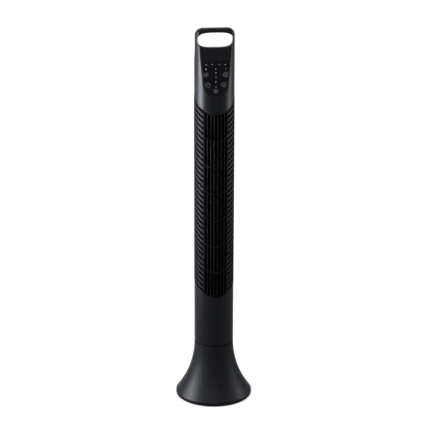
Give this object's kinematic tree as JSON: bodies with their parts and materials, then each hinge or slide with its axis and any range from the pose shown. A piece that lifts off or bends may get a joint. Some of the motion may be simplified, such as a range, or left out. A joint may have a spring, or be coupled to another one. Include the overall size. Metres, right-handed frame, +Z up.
{
  "type": "tower fan",
  "caption": "Slim oscillating tower fan on a trumpet-shaped base, with a cross-flow wheel behind a ribbed casing, a sloping control panel and a carrying handle through the head.",
  "frame": {"origin": "on the floor under the column's axis, which is also the oscillation axis and the centre of the base", "axes": "+Z up along the column, the front with the controls faces -Y, +X is to the right of someone who looks at the front"},
  "size_m": [0.234, 0.234, 1.17],
  "materials": {
    "body_black": "satin moulded plastic",
    "ribbed_black": "fine-grained satin plastic",
    "inner_black": "matte",
    "panel_gloss": "high gloss",
    "button_grey": "satin with pale printed ring and sign",
    "lens_clear": "frosted",
    "acetal_white": "natural acetal",
    "board_green": "solder mask",
    "rubber_black": "matte",
    "steel": "zinc plated",
    "cast_weight": "painted iron",
    "bronze": "sintered bronze"
  },
  "bodies": {
    "base": {"base_shell": "body_black", "base_plate": "inner_black", "counterweight": "cast_weight", "foot_1": "rubber_black", "foot_2": "rubber_black", "foot_3": "rubber_black", "foot_4": "rubber_black", "foot_5": "rubber_black", "foot_6": "rubber_black", "base_screw_1": "steel", "base_screw_2": "steel", "base_screw_3": "steel", "cord_gland": "rubber_black", "pivot_bush": "acetal_white", "thrust_washer": "acetal_white", "swing_motor": "steel", "swing_motor_screw_1": "steel", "swing_motor_screw_2": "steel"},
    "swing_drive": {"swing_shaft": "steel", "swing_pinion": "acetal_white"},
    "tower": {"turntable": "inner_black", "sector_gear": "acetal_white", "retaining_nut": "acetal_white", "turntable_screw_1": "steel", "turntable_screw_2": "steel", "turntable_screw_3": "steel", "lower_housing": "body_black", "motor_mount": "inner_black", "fan_motor": "steel", "motor_capacitor": "inner_black", "front_casing": "ribbed_black", "front_grille": "ribbed_black", "rear_casing": "ribbed_black", "rear_screw_1": "steel", "rear_screw_2": "steel", "rear_screw_3": "steel", "rear_screw_4": "steel", "air_scroll": "inner_black", "air_tongue": "inner_black", "top_plate": "inner_black", "top_bearing": "bronze", "head_housing": "body_black", "control_panel": "panel_gloss", "light_guide": "lens_clear", "control_board": "board_green"},
    "fan_rotor": {"fan_wheel": "inner_black", "wheel_hub": "rubber_black", "motor_shaft": "steel"},
    "speed_button": {"button_speed": "button_grey"},
    "timer_button": {"button_timer": "button_grey"},
    "swing_button": {"button_swing": "button_grey"},
    "mode_button": {"button_mode": "button_grey"},
    "power_button": {"button_power": "button_grey"}
  },
  "joints": [
    {"name": "oscillate", "type": "hinge", "parent": "base", "child": "tower", "pos_m": [0, 0, 0.171], "axis": [0, 0, 1], "range_deg": [-40, 40]},
    {"name": "pinion_spin", "type": "hinge", "parent": "base", "child": "swing_drive", "pos_m": [0, 0.0375, 0.171], "axis": [0, 0, 1], "range_deg": [-165, 165]},
    {"name": "fan_spin", "type": "hinge", "parent": "tower", "child": "fan_rotor", "pos_m": [0, 0, 0.346], "axis": [0, 0, 1], "continuous": true},
    {"name": "press_speed", "type": "slide", "parent": "tower", "child": "speed_button", "axis": [0, 0.995, -0.0995], "range_m": [0, 0.0008], "stiffness_N_per_m": 400, "springref_m": -0.0008},
    {"name": "press_timer", "type": "slide", "parent": "tower", "child": "timer_button", "axis": [0, 0.995, -0.0995], "range_m": [0, 0.0008], "stiffness_N_per_m": 400, "springref_m": -0.0008},
    {"name": "press_swing", "type": "slide", "parent": "tower", "child": "swing_button", "axis": [0, 0.995, -0.0995], "range_m": [0, 0.0008], "stiffness_N_per_m": 400, "springref_m": -0.0008},
    {"name": "press_mode", "type": "slide", "parent": "tower", "child": "mode_button", "axis": [0, 0.995, -0.0995], "range_m": [0, 0.0008], "stiffness_N_per_m": 400, "springref_m": -0.0008},
    {"name": "press_power", "type": "slide", "parent": "tower", "child": "power_button", "axis": [0, 0.995, -0.0995], "range_m": [0, 0.0008], "stiffness_N_per_m": 400, "springref_m": -0.0008}
  ],
  "couplings": [
    {"joint": "pinion_spin", "follows": "oscillate", "ratio": -4}
  ]
}
